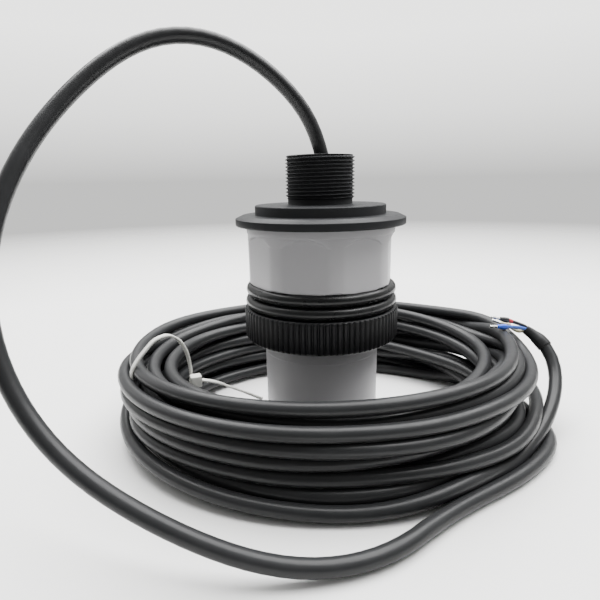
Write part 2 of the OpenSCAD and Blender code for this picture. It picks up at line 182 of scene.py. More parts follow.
# The cable's end: its line is made again with finer steps, and the sleeve and the bare cable share it
END_POINTS = 8
END_STEP = 0.5 * MM
SLEEVE_LENGTH = 13 * MM
SLEEVE_OVERLAP = 5 * MM
WIRE_R = 0.9 * MM
PIN_R = 0.65 * MM
PIN_LENGTH = 4.5 * MM
PIN_OVERLAP = 0.2 * MM
COLLAR_OVERLAP = 0.3 * MM
MARK_LENGTH = 2.4 * MM
# Forms: parts of the length, and the radii there in millimetres
SLEEVE_FORM = ([0, 0.03, 0.35, 0.6, 0.92, 1], [3.2, 3.42, 3.4, 2.75, 2.3, 2.15])
COLLAR_FORM = ([0, 0.04, 0.5, 0.8, 0.96, 1], [1.25, 1.4, 1.3, 1.05, 1, 0.85])
MARK_FORM = ([0, 0.1, 0.9, 1], [1.0, 1.12, 1.12, 1.0])
# Each core's colour, its route, which starts in the sleeve, and where its ferrule's collar ends
WIRE_ENDS = (
    ("black", [[105, 21, 39.4], [103, 22.4, 41], [100, 23, 42.2], [96.6, 22.9, 43.4], [94.2, 22.4, 44.2]],
     [89.7, 21.4, 45.4]),
    ("blue", [[105, 20.5, 38.8], [103, 20.7, 39.9], [100, 19.9, 40.9], [96, 18.8, 41.7], [91.5, 17, 42.4]],
     [86.5, 15, 43.2]),
    ("yellow", [[105, 21, 38.4], [103, 22.4, 38.7], [100.6, 23, 38.2], [98.3, 23.8, 39], [96.2, 24.7, 40.6]],
     [91.6, 24.9, 42.2]),
)

# The cable tie: strap, the loop it stands up in as (distance from the coil's centre, height), head and tail
TIE_W = 2.5 * MM
TIE_T = 1.1 * MM
TIE_TOOTH = 0.15 * MM
TIE_REACH = 88.5 * MM
TIE_TWIST = math.radians(28)
TIE_TWIST_FROM = 30 * MM
TIE_TWIST_OVER = 12 * MM
TIE_STRANDS_FROM = 50 * MM
TIE_SMOOTHING = 40
TIE_LOOP = [(65.3, 33), (66.5, 42), (69.5, 48.5), (74, 51.3), (80, 49.5), (86.5, 42.5)]
TIE_HEAD = [-54.5, -22.6, 31]
TIE_HEAD_SIZE = [4.6, 5, 4.6]
TIE_HEAD_CUT = 0.7 * MM
TIE_HEAD_WINDOW = 0.5 * MM
TIE_TAIL = [[-52, -22, 31], [-46, -21, 29.5], [-40, -20.5, 27], [-33, -21, 24.5], [-26, -22, 22]]

KEPT_NODES = (
    "cap_seal", "clamp_ring", "matching_layer", "piezo_disc", "decoupling_sleeve", "backing_block",
    "potting_disc", "piezo_leads", "temperature_probe", "board_frame", "circuit_board", "processor_chip",
    "driver_chips", "transformer_core", "transformer_winding", "capacitors", "terminal_block",
    "core_black", "core_blue", "core_yellow",
)

# Light: each lamp's name, place, size, power in watts and aim
LIGHTS = (
    ("Ceiling", (0.1, 0.4, 1.2), (2.0, 1.4), 94, (0.02, 0.1, 0)),
    ("Right", (0.6, -0.2, 0.8), (0.5, 0.5), 1.5, (0.2, -0.02, 0)),
    ("Left", (-0.9, 0.25, 0.45), (0.6, 0.6), 1.2, (0, 0, 0.06)),
)
# The backdrop's brightness at heights up the sky, its strength as light, the part of that in front of the
# object, and the part of the floor's colour that it gives as bounced light
SKY_HEIGHTS = ((0.0, 0.88), (0.12, 1.9), (0.25, 2.8), (0.6, 2.8))
SKY_LIGHT = 0.35
SKY_FRONT = 0.2
FLOOR_BOUNCE = 0.2
FLOOR_WHITE = (0.86, 0.86, 0.85)
# The floor, a hair below the object: its rings' radii, and the radii between which it fades out
FLOOR_RADII = (0, 0.1, 0.2, 0.3, 0.45, 0.6, 0.8, 1.0, 1.3)
FLOOR_DROP = 0.02 * MM
FLOOR_FADES = (0.35, 1.2)


# ---- the cable's route ----


def spline_through(points, step):
    """A smooth curve through the points, with a point every step metres."""
    p = np.vstack([2 * points[0] - points[1], points, 2 * points[-1] - points[-2]])
    t = np.linspace(0, 1, 16, endpoint=False)[:, None]
    out = []
    for a, b, c, d in zip(p[:-3], p[1:-2], p[2:-1], p[3:]):
        out.append((
            2 * b + (c - a) * t + (2 * a - 5 * b + 4 * c - d) * t**2
            + (3 * b - a - 3 * c + d) * t**3
        ) / 2)
    return evenly(np.vstack([*out, points[-1:]]), step)


def evenly(line, step):
    """The same line with points about step apart."""
    along = np.concatenate([[0], np.cumsum(np.linalg.norm(np.diff(line, axis=0), axis=1))])
    at = np.linspace(0, along[-1], max(2, round(along[-1] / step) + 1))
    return np.stack([np.interp(at, along, line[:, k]) for k in range(3)], axis=1)


def smoothed(line, rounds):
    """The line with its small kinks taken out; its ends stay."""
    line = line.copy()
    for _ in range(rounds):
        line[1:-1] += 0.25 * (line[:-2] + line[2:] - 2 * line[1:-1])
    return line


def length_of(line):
    return float(np.linalg.norm(np.diff(line, axis=0), axis=1).sum())


def coil_angle(point):
    """The angle parameter of the coil's ellipse nearest to a point's direction."""
    x, y = (point[:2] - COIL_CENTRE) / COIL_SEMI
    return math.atan2(y, x)


def ring_points(angle, offset, height):
    """Points at an offset along the coil ellipse's normal."""
    around = np.stack([np.cos(angle), np.sin(angle)], axis=-1)
    normal = around * COIL_SEMI[::-1]
    normal /= np.linalg.norm(normal, axis=-1, keepdims=True)
    flat = COIL_CENTRE + around * COIL_SEMI + normal * offset[:, None]
    return np.concatenate([flat, height[:, None]], axis=-1)


def coil_line(start, end, step):
    """The wound turns before they settle, with slow random waves that are larger away from the tie."""
    rng = np.random.default_rng(COIL_SEED)
    turns = len(COIL_SLOTS) - 1
    total = 2 * math.pi * turns + end - start
    count = int(total * COIL_SEMI.mean() / step)
    angle = start + np.linspace(0, total, count)
    place = np.linspace(0, turns, count)
    turn = np.minimum(place.astype(int), turns - 1)
    part = (place - turn)[:, None]
    part = part * part * (3 - 2 * part)
    slots = np.array(COIL_SLOTS, float)
    slot = slots[turn] * (1 - part) + slots[turn + 1] * part
    loose = (1 - np.cos(angle - TIE_ANGLE)) / 2 * np.clip(turns - place, 0.3, 1)
    back = (1 + np.cos(angle - BACK_ANGLE)) / 2
    offset = (slot[:, 0] - 1) * COIL_PITCH
    height = CABLE_R + slot[:, 1] * COIL_ROW * (1 + COIL_BACK_RISE * back**2)
    for _ in range(COIL_WAVES):
        rate = rng.uniform(0.6, 2.6)
        phase = rng.uniform(0, 2 * math.pi, 2)
        size = rng.normal(0, 1, 2)
        waves = np.sin(rate * angle[:, None] + phase)
        offset = offset + (COIL_TIED_WANDER + loose) * size[0] * COIL_WANDER[0] * waves[:, 0]
        height = height + (COIL_TIED_WANDER + loose) * size[1] * COIL_WANDER[1] * waves[:, 1]
    left = np.maximum(-np.cos(angle), 0) ** 2
    from_tie = np.mod(angle - TIE_ANGLE + math.pi, 2 * math.pi) - math.pi
    tied = np.exp(-((from_tie / TIE_ROOM_ANGLE) ** 2))
    offset = offset * (1 + COIL_SPREAD * loose + COIL_LEFT_SPREAD * left) - COIL_LEAN * left
    offset += COIL_FLARE * (height - COIL_FLARE_FROM) * left
    offset += TIE_ROOM * tied * np.clip(slot[:, 0] - 1, 0, 1)
    drift = COIL_DRIFT * rng.normal(0, 1, (turns + 1, 3))
    drift = np.stack([np.interp(place, range(turns + 1), drift[:, k]) for k in range(3)], axis=1)
    line = ring_points(angle, offset, height) + loose[:, None] * drift
    line[:, 2] = np.maximum(line[:, 2], CABLE_R)
    return line


def relax(line, held, rounds, sink):
    """Lets the cable settle: it sinks a little, keeps its length and stiffness, and isn't inside itself."""
    x = line.copy()
    count = len(x)
    rest = length_of(x) / (count - 1)
    free = ~held
    apart = int(2.2 * CABLE_D / rest) + 1
    even = (np.arange(count - 1) % 2 == 0)[:, None]
    for turn in range(rounds):
        if turn % SETTLE_LIST_EVERY == 0:
            squares = (x**2).sum(1)
            gap2 = squares[:, None] + squares[None, :] - 2 * x @ x.T
            a, b = np.nonzero(gap2 < (1.5 * CABLE_D) ** 2)
            keep = b - a > apart
            a, b = a[keep], b[keep]
        if turn < SETTLE_SINKING * rounds:
            x[free, 2] -= sink
        for _ in range(2):
            between = x[b] - x[a]
            gap = np.linalg.norm(between, axis=1)
            hit = gap < CABLE_D
            gap = np.maximum(gap[hit], 1e-6)
            push = (0.5 * (CABLE_D - gap) / gap)[:, None] * between[hit]
            moved = np.zeros_like(x)
            hits = np.zeros(count)
            np.add.at(moved, a[hit], -push)
            np.add.at(moved, b[hit], push)
            np.add.at(hits, a[hit], 1)
            np.add.at(hits, b[hit], 1)
            share = np.minimum(1.4 / np.maximum(hits, 1), 1)
            x[free] += (moved * share[:, None])[free]
            x[:, 2] = np.maximum(x[:, 2], CABLE_R)
        bend = np.zeros_like(x)
        bend[2:-2] = (-x[:-4] + 4 * x[1:-3] + 4 * x[3:-1] - x[4:]) / 6 - x[2:-2]
        x[free] += SETTLE_STIFFNESS * bend[free]
        for parity in (even, ~even):
            step = np.diff(x, axis=0)
            long = np.linalg.norm(step, axis=1, keepdims=True)
            fix = np.where(parity, 0.5 * (long - rest) / long * step, 0)
            moved = np.zeros_like(x)
            moved[:-1] += fix
            moved[1:] -= fix
            x[free] += moved[free]
    return x


def cable_line():
    """The whole cable: lead, coil and tail as one line of points."""
    lead = smoothed(spline_through(LEAD_ROUTE, CABLE_STEP), LEAD_SMOOTHING)
    tail = smoothed(spline_through(TAIL_ROUTE, CABLE_STEP), TAIL_SMOOTHING)
    coil = coil_line(coil_angle(lead[-1]) + COIL_JOIN, coil_angle(tail[0]) - COIL_JOIN, CABLE_STEP)
    line = evenly(np.vstack([lead, coil, tail]), CABLE_STEP)
    held = np.zeros(len(line), bool)
    held[:len(lead) - 6] = True
    held[3 - len(tail):] = True
    line = relax(line, held, SETTLE_ROUNDS, SETTLE_SINK)
    hidden = spline_through(np.vstack([MM * np.array(CABLE_HIDDEN_START), line[:1]]), CABLE_STEP)
    return np.vstack([hidden[:-1], line])


# ---- materials ----


def material(name, color, roughness, metallic=0.0, specular=0.5):
    """A new material with its own Principled node; the caller adds the detail."""
    m = bpy.data.materials.new(name)
    m.use_nodes = True
    shader = m.node_tree.nodes["Principled BSDF"]
    shader.inputs["Base Color"].default_value = (*color, 1)
    shader.inputs["Roughness"].default_value = roughness
    shader.inputs["Metallic"].default_value = metallic
    shader.inputs["Specular IOR Level"].default_value = specular
    return m


class Nodes:
    """Adds nodes to the tree of one material, or of the world, which has no Principled node."""

    def __init__(self, owner):
        self.tree = owner.node_tree
        self.shader = self.tree.nodes.get("Principled BSDF")

    def node(self, kind, **values):
        made = self.tree.nodes.new("ShaderNode" + kind)
        for key, value in values.items():
            setattr(made, key, value)
        return made

    def link(self, out, into):
        self.tree.links.new(out, into)
        return into

    def position(self):
        """Object coordinates, which are the row frame's metres."""
        return self.node("TexCoord").outputs["Object"]

    def turned(self):
        """Coordinates that don't change around the Z axis: (distance from the axis, 0, height)."""
        split = self.node("SeparateXYZ")
        self.link(self.position(), split.inputs[0])
        flat = self.node("CombineXYZ")
        self.link(split.outputs["X"], flat.inputs["X"])
        self.link(split.outputs["Y"], flat.inputs["Y"])
        length = self.node("VectorMath", operation="LENGTH")
        self.link(flat.outputs[0], length.inputs[0])
        joined = self.node("CombineXYZ")
        self.link(length.outputs["Value"], joined.inputs["X"])
        self.link(split.outputs["Z"], joined.inputs["Z"])
        return joined.outputs[0]

    def noise(self, where, per_mm, detail=3.0, roughness=0.5):
        """Noise with that many cells a millimetre."""
        made = self.node("TexNoise")
        made.inputs["Scale"].default_value = per_mm / MM
        made.inputs["Detail"].default_value = detail
        made.inputs["Roughness"].default_value = roughness
        self.link(where, made.inputs["Vector"])
        return made.outputs["Fac"]

    def ramp(self, value, low, high, out_low, out_high):
        """The value's stretch from low to high, mapped to out_low to out_high."""
        made = self.node("MapRange")
        made.inputs["From Min"].default_value = low
        made.inputs["From Max"].default_value = high
        made.inputs["To Min"].default_value = out_low
        made.inputs["To Max"].default_value = out_high
        self.link(value, made.inputs["Value"])
        return made.outputs["Result"]

    def add(self, a, b):
        made = self.node("Math", operation="ADD")
        self.link(a, made.inputs[0])
        self.link(b, made.inputs[1])
        return made.outputs[0]

    def mix(self, factor, dark, light):
        """A colour between dark and light."""
        made = self.node("Mix", data_type="RGBA")
        made.inputs["A"].default_value = (*dark, 1)
        made.inputs["B"].default_value = (*light, 1)
        self.link(factor, made.inputs["Factor"])
        return made.outputs["Result"]

    def color(self, out):
        self.link(out, self.shader.inputs["Base Color"])

    def roughness(self, out):
        self.link(out, self.shader.inputs["Roughness"])

    def bump(self, height, distance, strength=1.0):
        """Bump of that height in millimetres, on top of any bump made before."""
        made = self.node("Bump")
        made.inputs["Distance"].default_value = distance * MM
        made.inputs["Strength"].default_value = strength
        self.link(height, made.inputs["Height"])
        socket = self.shader.inputs["Normal"]
        if socket.is_linked:
            self.link(socket.links[0].from_socket, made.inputs["Normal"])
        self.link(made.outputs["Normal"], socket)


def scaled(color, factor):
    return tuple(min(1.0, c * factor) for c in color)


def moulded(name, color, roughness, grain=1.2, bump=0.02, spread=0.12, **shading):
    """Plain plastic, rubber or resin: a faint cloudiness, uneven gloss and a fine grain."""
    m = material(name, color, roughness, **shading)
    n = Nodes(m)
    where = n.position()
    cloud = n.noise(where, 0.08, 4)
    n.color(n.mix(cloud, scaled(color, 1 - spread), scaled(color, 1 + spread)))
    n.roughness(n.ramp(n.noise(where, 0.25, 4), 0.3, 0.7, roughness * 0.85, roughness * 1.15))
    n.bump(n.noise(where, grain, 3), bump)
    return m


def turned(name, color, roughness, lines=6.0, bump=0.01, anisotropy=0.0, spread=0.12, **shading):
    """A surface from a lathe: fine lines around the axis, with the gloss drawn out across them."""
    m = material(name, color, roughness, **shading)
    n = Nodes(m)
    where = n.position()
    around = n.turned()
    line = n.noise(around, lines, 2, 0.7)
    cloud = n.noise(where, 0.06, 4)
    n.color(n.mix(cloud, scaled(color, 1 - spread), scaled(color, 1 + spread)))
    n.roughness(n.ramp(n.add(line, n.noise(where, 0.5, 3)), 0.7, 1.3, roughness * 0.85, roughness * 1.2))
    n.bump(line, bump)
    n.bump(n.noise(where, 3.0, 2), bump)
    if anisotropy:
        n.shader.inputs["Anisotropic"].default_value = anisotropy
        tangent = n.node("Tangent", direction_type="RADIAL", axis="Z")
        n.link(tangent.outputs[0], n.shader.inputs["Tangent"])
    return m


def speckled(name, color, roughness, dots, per_mm, bump=0.02, **shading):
    """Grains of a second colour in a base, as in cork, ceramic and filled resin."""
    m = material(name, color, roughness, **shading)
    n = Nodes(m)
    where = n.position()
    grains = n.ramp(n.noise(where, per_mm, 2), 0.45, 0.6, 0, 1)
    n.color(n.mix(grains, color, dots))
    n.roughness(n.ramp(grains, 0, 1, roughness, roughness * 0.8))
    n.bump(grains, bump)
    return m


def wound(name, color, roughness, pitch, **shading):
    """Wire wound around an upright or level core, as fine ribs along Z, with painted shade in the grooves
    between the turns.
    """
    m = material(name, color, roughness, **shading)
    n = Nodes(m)
    wave = n.node("TexWave", bands_direction="Z", wave_profile="SIN")
    wave.inputs["Scale"].default_value = 0.314 / (pitch * MM)
    wave.inputs["Distortion"].default_value = 0.4
    n.link(n.position(), wave.inputs["Vector"])
    # Painted shade: the colour darkens to 0.6 of the copper in the grooves between the turns, on the same
    # wave as the ribs' bump
    n.color(n.mix(wave.outputs["Fac"], scaled(color, 0.6), color))
    n.bump(wave.outputs["Fac"], 0.1)
    return m


def floor_material():
    """White paper that fades out towards the horizon."""
    m = material("floor_paper", FLOOR_WHITE, 0.6)
    n = Nodes(m)
    where = n.position()
    paper = n.mix(n.noise(where, 0.02, 3), FLOOR_WHITE, (0.9, 0.9, 0.89))
    shade = n.node("VectorMath", operation="SCALE")
    n.link(paper, shade.inputs[0])
    bounced = n.ramp(n.node("LightPath").outputs["Is Diffuse Ray"], 0, 1, 1, FLOOR_BOUNCE)
    n.link(bounced, shade.inputs["Scale"])
    n.color(shade.outputs[0])
    split = n.node("SeparateXYZ")
    n.link(n.turned(), split.inputs[0])
    n.link(n.ramp(split.outputs["X"], *FLOOR_FADES, 1, 0), n.shader.inputs["Alpha"])
    return m


finish = {
    "floor": floor_material(),
    "cap_black": turned("cap_black", (0.031, 0.0318, 0.0333), 0.34, 7, 0.006, 0.45, specular=0.06),
    "nut_black": moulded("nut_black", (0.007, 0.0073, 0.0082), 0.4, specular=0.18),
    "seal_rubber": moulded("seal_rubber", (0.008, 0.0083, 0.0088), 0.3, 1.2, 0.002, specular=0.28),
    "grommet_rubber": moulded("grommet_rubber", (0.02, 0.02, 0.021), 0.6, 1.5, 0.03),
    "clamp_brass": turned("clamp_brass", (0.75, 0.6, 0.32), 0.3, metallic=1.0),
    "cable_jacket": moulded("cable_jacket", (0.022, 0.0225, 0.0236), 0.34, 1.6, 0.002, 0.2, specular=0.23),
    "housing_white": turned("housing_white", (0.56, 0.552, 0.57), 0.4, 3, 0.006, spread=0.015),
    "nose_white": turned("nose_white", (0.56, 0.552, 0.57), 0.38, 3, 0.006, spread=0.015),
    "matching_epoxy": speckled("matching_epoxy", (0.8, 0.72, 0.5), 0.5, (0.7, 0.6, 0.4), 2),
    "piezo_ceramic": speckled("piezo_ceramic", (0.62, 0.6, 0.54), 0.35, (0.5, 0.48, 0.42), 4, 0.005),
    "sleeve_cork": speckled("sleeve_cork", (0.45, 0.32, 0.2), 0.8, (0.2, 0.12, 0.07), 0.9, 0.05),
    "backing_resin": speckled("backing_resin", (0.1, 0.1, 0.11), 0.6, (0.3, 0.3, 0.3), 1.5),
    "potting_resin": moulded("potting_resin", (0.03, 0.03, 0.035), 0.2, 0.3, 0.02),
    "lead_red": moulded("lead_red", (0.6, 0.05, 0.04), 0.4),
    "probe_resin": moulded("probe_resin", (0.04, 0.05, 0.2), 0.15, 0.6, 0.03),
    "frame_plastic": moulded("frame_plastic", (0.08, 0.08, 0.09), 0.5),
    "board_green": moulded("board_green", (0.02, 0.2, 0.08), 0.3, 0.8, 0.01),
    "chip_black": moulded("chip_black", (0.03, 0.03, 0.03), 0.55, 3, 0.02),
    "ferrite": speckled("ferrite", (0.07, 0.07, 0.075), 0.5, (0.12, 0.12, 0.125), 3),
    "copper": wound("copper", (0.55, 0.25, 0.12), 0.3, 0.35, metallic=1.0),
    "capacitor_can": moulded("capacitor_can", (0.12, 0.15, 0.25), 0.3),
    "terminal_green": moulded("terminal_green", (0.04, 0.25, 0.1), 0.45),
    "wire_black": moulded("wire_black", (0.008, 0.008, 0.008), 0.4),
    "wire_blue": moulded("wire_blue", (0.03, 0.1, 0.45), 0.4),
    "wire_yellow": moulded("wire_yellow", (0.75, 0.7, 0.45), 0.4),
    "mark_red": moulded("mark_red", (0.6, 0.03, 0.04), 0.4),
    "sleeve_black": moulded("sleeve_black", (0.014, 0.0145, 0.015), 0.5, 1.0, 0.05, specular=0.3),
    "ferrule_black": moulded("ferrule_black", (0.008, 0.008, 0.009), 0.35),
    "ferrule_blue": moulded("ferrule_blue", (0.02, 0.09, 0.6), 0.35),
    "ferrule_yellow": moulded("ferrule_yellow", (0.8, 0.75, 0.5), 0.35),
    "tinned_copper": turned("tinned_copper", (0.72, 0.72, 0.7), 0.25, 2, 0.01, metallic=1.0),
    "tie_nylon": moulded("tie_nylon", (0.8, 0.8, 0.75), 0.35, 1.2, 0.01, 0.04),
}


# ---- meshes ----


def piece(name, mesh, slot, body="sensor", crease=35):
    """A mesh piece from points in metres, merged, smooth up to the crease angle, on its body.

    It stands for the CAD node of its own name in small letters, and has its slot's finish.
    """
    verts, faces = mesh
    data = bpy.data.meshes.new(name)
    data.from_pydata([tuple(v) for v in verts], [], [tuple(f) for f in faces])
    b = bmesh.new()
    b.from_mesh(data)
    bmesh.ops.remove_doubles(b, verts=b.verts, dist=MERGE_WITHIN)
    bmesh.ops.dissolve_degenerate(b, edges=b.edges, dist=MERGE_WITHIN)
    bmesh.ops.recalc_face_normals(b, faces=b.faces)
    b.to_mesh(data)
    b.free()
    data.shade_smooth()
    data.set_sharp_from_angle(angle=math.radians(crease))
    obj = bpy.data.objects.new(name, data)
    bpy.context.collection.objects.link(obj)
    data.materials.append(finish[slot])
    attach(obj, body)
    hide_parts(name.lower())
    return obj


def around(columns):
    """The angles of that many columns, with the first one again at the end."""
    return 2 * math.pi * np.arange(columns + 1) / columns


def shell(rows, columns, closed=True):
    """Points and faces of a surface around the Z axis, from rows of (radius, height) in millimetres.

    A row's radius and height are numbers, or one value for each column.
    """
    angle = around(columns)
    radius = np.array([np.broadcast_to(r, columns + 1) for r, _ in rows], float)
    height = np.array([np.broadcast_to(z, columns + 1) for _, z in rows], float)
    verts = MM * np.stack([radius * np.cos(angle), radius * np.sin(angle), height], axis=-1).reshape(-1, 3)
    wide = columns + 1
    first = np.arange(len(rows) if closed else len(rows) - 1)
    second = (first + 1) % len(rows)
    column = np.arange(columns)
    a = first[:, None] * wide + column
    b = second[:, None] * wide + column
    faces = np.stack([a, a + 1, b + 1, b], axis=-1).reshape(-1, 4)
    return verts, faces


def softened(points, size, steps=3):
    """A profile of (radius, height) points with each inner corner rounded, size millimetres back from it."""
    out = [points[0]]
    for before, corner, after in zip(points, points[1:], points[2:]):
        corner = np.array(corner, float)
        arms = []
        for other in (before, after):
            arm = np.array(other, float) - corner
            arms.append(corner + arm * min(size / np.linalg.norm(arm), 0.45))
        for t in np.linspace(0, 1, steps + 1):
            out.append(tuple((1 - t) ** 2 * arms[0] + 2 * t * (1 - t) * corner + t * t * arms[1]))
    out.append(points[-1])
    return out


def thread_rows(columns, low, high, pitch, per_pitch, radius_at, root):
    """Rows that climb with a right-hand thread from low to high, so that its crest follows a row.

    The thread has a root at angle 0 and the height root. radius_at(turn, height) gives the radius, with
    turn the distance above the last root in pitches.
    """
    climb = pitch * around(columns) / (2 * math.pi)
    start = root + pitch * (math.floor((low - root) / pitch) - 1)
    rows = []
    for k in range(math.ceil((high - start) / pitch) * per_pitch + 1):
        height = np.clip(start + pitch * k / per_pitch + climb, low, high)
        rows.append((radius_at((height - root - climb) / pitch % 1, height), height))
    return rows


def ridge(turn):
    """A thread's form over one pitch: 1 on the narrow crest in the middle, 0 at the root."""
    off_crest = np.abs(turn - 0.5) * 2
    return np.clip((0.8 - off_crest) / 0.65, 0, 1)


def frames_along(line):
    """At each point of a line: its tangent and two side directions that don't twist."""
    tangent = np.gradient(line, axis=0)
    tangent /= np.linalg.norm(tangent, axis=1, keepdims=True)
    side = np.cross(tangent[0], [0.3, 0.2, 1.0])
    out = []
    for t in tangent:
        side = side - t * (side @ t)
        side /= np.linalg.norm(side)
        out.append((t, side, np.cross(t, side)))
    return out


def swept(line, outline):
    """Points and faces of a closed tube along a line; outline(i, angle) gives its radius there."""
    sides = OUTLINE_SIDES
    angle = 2 * math.pi * np.arange(sides) / sides
    verts = []
    for i, (at, (_, side, other)) in enumerate(zip(line, frames_along(line))):
        radius = np.broadcast_to(outline(i, angle), sides)[:, None]
        verts.extend(at + radius * (np.cos(angle)[:, None] * side + np.sin(angle)[:, None] * other))
    faces = [
        (i * sides + k, i * sides + (k + 1) % sides, (i + 1) * sides + (k + 1) % sides, (i + 1) * sides + k)
        for i in range(len(line) - 1)
        for k in range(sides)
    ]
    faces.append(tuple(range(sides)))
    faces.append(tuple(len(verts) - sides + k for k in range(sides)))
    return verts, faces


def joined(*meshes):
    """Several (points, faces) as one."""
    verts, faces = [], []
    for more_verts, more_faces in meshes:
        start = len(verts)
        verts.extend(more_verts)
        faces.extend(tuple(int(k) + start for k in f) for f in more_faces)
    return verts, faces


# ---- cap, housing and nose ----

cap_profile = softened([
    (CAP_BORE_R, 95), (CAP_BORE_R, SPIGOT_Z + 2), (SPIGOT_R - 1, SPIGOT_Z), (SPIGOT_R, SPIGOT_Z + 1),
    (SPIGOT_R, GROOVE_LOW_Z), (SPIGOT_R - GROOVE_DEPTH, GROOVE_LOW_Z),
    (SPIGOT_R - GROOVE_DEPTH, GROOVE_HIGH_Z), (SPIGOT_R, GROOVE_HIGH_Z), (SPIGOT_R, FLANGE_Z),
    (FLANGE_R - 0.3, FLANGE_Z), (FLANGE_R, FLANGE_Z + 0.3), (FLANGE_R, STEP_Z - 1.4),
    (FLANGE_R - 3, STEP_Z), (STEP_R, STEP_Z), (STEP_R, RELIEF_Z - 0.4), (STEP_R - 0.4, RELIEF_Z),
    (RELIEF_R, RELIEF_Z), (RELIEF_R, THREAD_START_Z),
], 0.18)


def conduit_radius(turn, height):
    envelope = np.interp(height, [THREAD_START_Z, CONDUIT_Z, SENSOR_H - 0.7, SENSOR_H],
                         [RELIEF_R, CONDUIT_R, CONDUIT_R, CONDUIT_R - 0.75])
    return np.minimum(CONDUIT_R - CONDUIT_DEPTH * (1 - ridge(turn)), envelope)


cap_mouth = softened([
    (CONDUIT_R - 0.9, SENSOR_H), (GLAND_R + 0.6, SENSOR_H), (GLAND_R, SENSOR_H - 0.6),
    (GLAND_R, GLAND_Z), (CAP_BORE_R, GLAND_Z), (CAP_BORE_R, 100),
], 0.15)
conduit_rows = thread_rows(
    CAP_COLUMNS, THREAD_START_Z, SENSOR_H, CONDUIT_PITCH, 10, conduit_radius, THREAD_START_Z)
piece("Top_cap", shell(cap_profile + conduit_rows + cap_mouth, CAP_COLUMNS), "cap_black")

cable_mm = CABLE_D / 2 / MM
grommet_profile = softened([
    (cable_mm + 0.1, 118), (cable_mm + 0.1, GROMMET_Z + 0.4), (cable_mm + 0.6, GROMMET_Z),
    (GLAND_R - 0.4, GROMMET_Z), (GLAND_R - GLUE, GROMMET_Z + 0.4), (GLAND_R - GLUE, 122),
    (GLAND_R - 0.5, 122.8), (GLAND_R - 2, 122.6), (cable_mm + 2.6, 122.4), (cable_mm + 1.4, 123.4),
    (cable_mm + 0.5, 123.4), (cable_mm + 0.1, 122.8), (cable_mm + 0.1, 119),
], 0.3)
piece("Cable_grommet", shell(grommet_profile, 96), "grommet_rubber")

# The housing's flats run into arches at the top; both edges are soft, as machined plastic is
housing_angle = around(HOUSING_COLUMNS)
from_flat = (housing_angle - FLAT_ANGLE + math.pi / FLATS) % (2 * math.pi / FLATS) - math.pi / FLATS
flat_face = FLAT_APOTHEM / np.cos(from_flat)
flat_r = (GRIP_R + flat_face - np.hypot(GRIP_R - flat_face, EDGE_SOFTNESS)) / 2
flat_half_width = math.sqrt(GRIP_R**2 - FLAT_APOTHEM**2)
across = np.minimum(np.abs(flat_r * np.sin(from_flat)), flat_half_width)
arch_top = ARCH_Z - ARCH_R + np.sqrt(ARCH_R**2 - across**2)


def shank_radius(turn, height):
    envelope = np.interp(height, [COLLAR_TOP_Z, COLLAR_TOP_Z + 1.4, GRIP_Z], [COLLAR_R, SHANK_R, SHANK_R])
    return np.minimum(SHANK_R - SHANK_DEPTH * (1 - ridge(turn)), envelope)


housing_rows = softened([
    (BORE_R, 60), (BORE_R, NOSE_JOINT_Z), (COLLAR_R, NOSE_JOINT_Z), (COLLAR_R, COLLAR_TOP_Z),
], 0.15)
housing_rows += thread_rows(
    HOUSING_COLUMNS, COLLAR_TOP_Z, GRIP_Z, SHANK_PITCH, 8, shank_radius, COLLAR_TOP_Z)
grip_foot = softened([
    (SHANK_R - SHANK_DEPTH, GRIP_Z), (GRIP_R - 0.8, GRIP_Z), (GRIP_R, GRIP_Z + 0.8), (GRIP_R, GRIP_Z + 3),
], 0.3)
for r, z in grip_foot:
    housing_rows.append((np.minimum(r, flat_r), z))
for part in np.linspace(0, 1, 4):
    housing_rows.append((flat_r, GRIP_Z + 3 + part * (arch_top - GRIP_Z - 3.8)))
for part in np.linspace(0, 1, 9):
    ease = part * part * (3 - 2 * part)
    housing_rows.append((flat_r + ease * (GRIP_R - flat_r), arch_top - LEDGE / 2 + part * LEDGE))
housing_rows += softened([
    (GRIP_R, ARCH_Z + 0.45), (RIM_R, ARCH_Z + 0.75), (RIM_R, FLANGE_Z - 0.3),
    (RIM_R - 0.3, FLANGE_Z - GLUE), (SPIGOT_R + GLUE, FLANGE_Z - GLUE), (SPIGOT_R + GLUE, SPIGOT_Z - 0.5),
    (BORE_R, SPIGOT_Z - 0.5), (BORE_R, 80),
], 0.1)
piece("Housing", shell(housing_rows, HOUSING_COLUMNS), "housing_white", crease=28)

nose_profile = [(0, 0)] + softened([
    (NOSE_R - 4, 0), (NOSE_R - 0.8, 0), (NOSE_R, 0.8), (NOSE_R, NOSE_JOINT_Z - 0.5),
    (NOSE_R - 0.35, NOSE_JOINT_Z - GLUE), (BORE_R - GLUE, NOSE_JOINT_Z - GLUE), (BORE_R - GLUE, NOSE_TOP_Z),
    (NOSE_IN_R, NOSE_TOP_Z), (NOSE_IN_R, FACE_T), (15, FACE_T),
], 0.2) + [(0, FACE_T)]
piece("Nose_tube", shell(nose_profile, ROUND_COLUMNS, closed=False), "nose_white")

# ---- lock nut and seal rings ----


def ring_rows(centre_r, centre_z, wander, phase):
    """A rubber ring's rows, a touch out of round."""
    out = centre_r + wander * np.sin(2 * around(ROUND_COLUMNS) + phase)
    section = np.linspace(0, 2 * math.pi, 24, endpoint=False)
    return [(out + RING_SECTION_R * math.cos(a), centre_z + RING_SECTION_R * math.sin(a)) for a in section]


